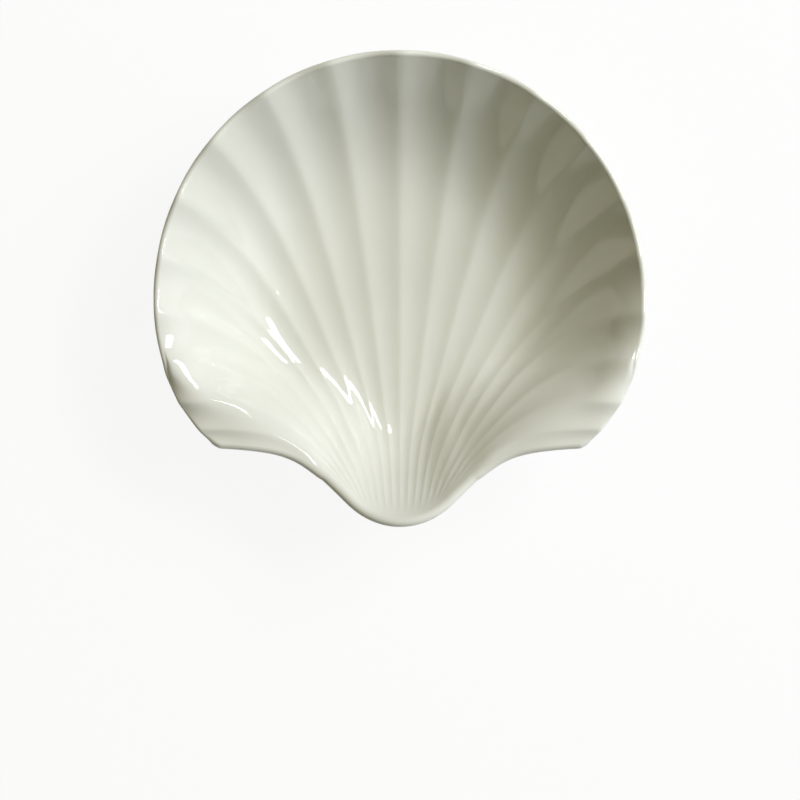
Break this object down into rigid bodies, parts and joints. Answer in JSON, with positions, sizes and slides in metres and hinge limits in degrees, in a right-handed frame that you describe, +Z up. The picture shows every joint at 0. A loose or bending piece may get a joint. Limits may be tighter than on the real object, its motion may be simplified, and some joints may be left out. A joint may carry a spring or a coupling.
{
  "type": "shell plate",
  "caption": "Scallop-shell serving plate in white glazed porcelain: a deep fluted fan with a wavy rim, a raised beak with a rolled lip, and a low foot ring.",
  "frame": {"origin": "on the table, under the middle of the plate's box", "axes": "+Z up, the beak points to -Y, the fan opens to +Y, +X is the plate's right hand seen from the beak"},
  "size_m": [0.2312, 0.2218, 0.0678],
  "materials": {
    "glazed_porcelain": "clear high gloss glaze over white porcelain",
    "foot_porcelain": "glazed at the sides, wiped bare on the bearing face"
  },
  "bodies": {
    "root": {"shell_dish": "glazed_porcelain", "foot_ring": "foot_porcelain"}
  },
  "joints": []
}
